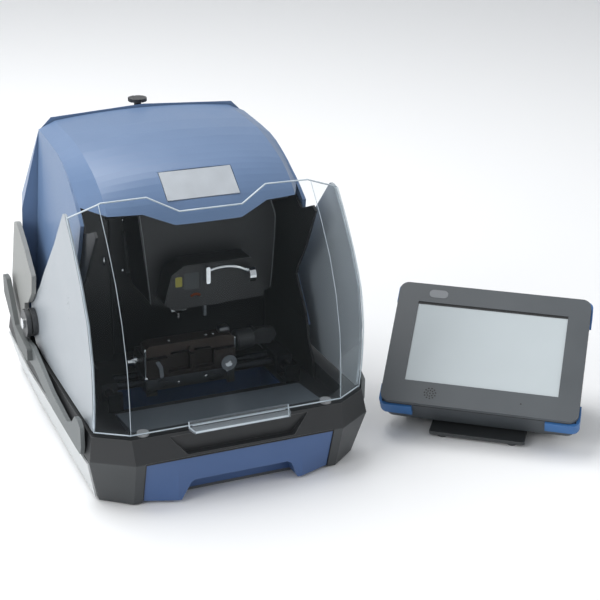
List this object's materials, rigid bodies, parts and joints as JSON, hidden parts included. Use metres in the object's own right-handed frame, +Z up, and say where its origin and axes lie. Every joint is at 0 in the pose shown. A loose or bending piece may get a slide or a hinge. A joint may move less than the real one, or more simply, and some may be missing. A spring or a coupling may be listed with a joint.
{
  "type": "key duplicating machine",
  "caption": "Bench key duplicating machine: blue hood, hinged clear shield over the clamp and cutter, chip drawer in a dark base, and a separate touch console on a wedge stand.",
  "frame": {"origin": "middle of the machine's flat underside, between its four feet", "axes": "+X to the machine's right as its user faces it, +Y to its rear, +Z up; the console stands to the right"},
  "size_m": [0.5937, 0.4598, 0.3344],
  "materials": {
    "blue_shell": "satin textured moulding",
    "blue_drawer": "satin",
    "black_housing": "fine grained",
    "dark_grey": "fine grained",
    "light_grey": "satin",
    "grey_floor": "satin",
    "clear_pane": "polished polycarbonate",
    "frosted_pane": "frosted polycarbonate",
    "black_liner": "fine grained",
    "silver_plate": "brushed",
    "steel": "ground",
    "chrome": "polished",
    "jaw_bronze": "blackened",
    "black_knob": "moulded",
    "cast_alloy": "cast",
    "rubber": "matt",
    "pad_rubber": "matt",
    "motor_black": "satin",
    "board_green": "lacquered",
    "lamp_white": "diffuser",
    "console_grey": "fine grained",
    "screen": "glass front",
    "bumper_blue": "satin",
    "carbide": "ground"
  },
  "bodies": {
    "base": {"base_shell": "black_housing", "bottom_plate": "dark_grey", "chamber_floor": "grey_floor", "front_apron": "grey_floor", "feet": "rubber", "rest_pads": "pad_rubber", "skirts": "light_grey", "rails": "black_housing", "uprights": "dark_grey", "grips": "dark_grey", "pivot_brackets": "black_liner", "pivot_pins": "chrome", "rear_panel": "dark_grey", "power_inlet": "black_knob", "hood": "blue_shell", "name_plate": "silver_plate", "rear_cover": "blue_shell", "liner": "black_liner", "liner_sides": "black_liner", "duct_cover": "black_liner", "lamp_strip": "lamp_white", "power_supply": "steel", "controller": "board_green", "stage_motors": "motor_black", "head_cover": "black_liner", "z_rods": "steel", "y_rails": "steel", "drawer_runners": "steel"},
    "shield": {"shield_window": "clear_pane", "shield_cheeks": "frosted_pane", "shield_handle": "clear_pane"},
    "left_knob": {"pivot_knob_left": "dark_grey"},
    "right_knob": {"pivot_knob_right": "dark_grey"},
    "drawer": {"drawer_front": "blue_drawer", "drawer_tray": "blue_drawer"},
    "cross_slide": {"y_blocks": "cast_alloy", "x_rails": "steel"},
    "clamp": {"carriage": "steel", "lower_jaw": "jaw_bronze", "side_shaft": "chrome"},
    "jaw": {"upper_jaw": "jaw_bronze"},
    "handle": {"clamp_handle": "black_knob"},
    "jaw_screw": {"jaw_knob": "chrome"},
    "release": {"release_lever": "chrome"},
    "head": {"head_carriage": "cast_alloy", "nose_cover": "black_liner", "spindle_bushing": "black_knob", "spindle_motor": "motor_black"},
    "cutter": {"collet": "chrome", "cutter_flutes": "carbide"},
    "tracer": {"tracer_pin": "steel"},
    "lock_lever": {"tool_lever": "chrome"},
    "hood_knob": {"top_knob": "black_knob"},
    "rocker": {"power_rocker": "black_knob"},
    "console": {"console_bezel": "console_grey", "console_screen": "screen", "console_rim": "console_grey", "console_bumpers": "bumper_blue", "console_case": "console_grey", "console_foot": "black_housing"}
  },
  "joints": [
    {"name": "shield_hinge", "type": "hinge", "parent": "base", "child": "shield", "pos_m": [0, 0.043, 0.11], "axis": [-1, 0, 0], "range_deg": [0, 50]},
    {"name": "left_knob_turn", "type": "hinge", "parent": "base", "child": "left_knob", "pos_m": [-0.15, 0.043, 0.11], "axis": [1, 0, 0], "range_deg": [-360, 360]},
    {"name": "right_knob_turn", "type": "hinge", "parent": "base", "child": "right_knob", "pos_m": [0.15, 0.043, 0.11], "axis": [1, 0, 0], "range_deg": [-360, 360]},
    {"name": "drawer_slide", "type": "slide", "parent": "base", "child": "drawer", "axis": [0, -1, 0], "range_m": [0, 0.12]},
    {"name": "fore_aft_slide", "type": "slide", "parent": "base", "child": "cross_slide", "axis": [0, 1, 0], "range_m": [-0.015, 0.02]},
    {"name": "cross_slide", "type": "slide", "parent": "cross_slide", "child": "clamp", "axis": [1, 0, 0], "range_m": [-0.024, 0.018]},
    {"name": "jaw_lift", "type": "slide", "parent": "clamp", "child": "jaw", "axis": [0, 0, 1], "range_m": [-0.00194, 0.00394]},
    {"name": "handle_turn", "type": "hinge", "parent": "clamp", "child": "handle", "pos_m": [0.06, -0.06, 0.098], "axis": [1, 0, 0], "range_deg": [-175, 355]},
    {"name": "jaw_screw_turn", "type": "hinge", "parent": "clamp", "child": "jaw_screw", "pos_m": [0.0315, -0.088, 0.088], "axis": [0, 1, 0], "range_deg": [-360, 360]},
    {"name": "release_turn", "type": "hinge", "parent": "clamp", "child": "release", "pos_m": [-0.045, -0.086, 0.095], "axis": [0, 1, 0], "range_deg": [-20, 20]},
    {"name": "head_travel", "type": "slide", "parent": "base", "child": "head", "axis": [0, 0, 1], "range_m": [-0.008, 0.006]},
    {"name": "spindle_turn", "type": "hinge", "parent": "head", "child": "cutter", "pos_m": [-0.011, -0.052, 0.14], "axis": [0, 0, 1], "continuous": true},
    {"name": "tracer_slide", "type": "slide", "parent": "head", "child": "tracer", "axis": [0, 0, 1], "range_m": [0, 0.004], "stiffness_N_per_m": 200, "springref_m": -0.001},
    {"name": "lock_lever_turn", "type": "hinge", "parent": "head", "child": "lock_lever", "pos_m": [0.016, -0.068, 0.186], "axis": [0, 1, 0], "range_deg": [-10, 20]},
    {"name": "hood_knob_turn", "type": "hinge", "parent": "base", "child": "hood_knob", "pos_m": [-0.002, 0.102, 0.33], "axis": [0, 0, 1], "continuous": true},
    {"name": "rocker_tilt", "type": "hinge", "parent": "base", "child": "rocker", "pos_m": [-0.057, 0.172, 0.102], "axis": [1, 0, 0], "range_deg": [0, 14]},
    {"name": "console_lift", "type": "slide", "parent": "base", "child": "console", "axis": [0, 0, 1], "range_m": [0, 0.15]}
  ],
  "couplings": [
    {"joint": "handle_turn", "follows": "jaw_lift", "rad_per_m": 1570.8}
  ]
}
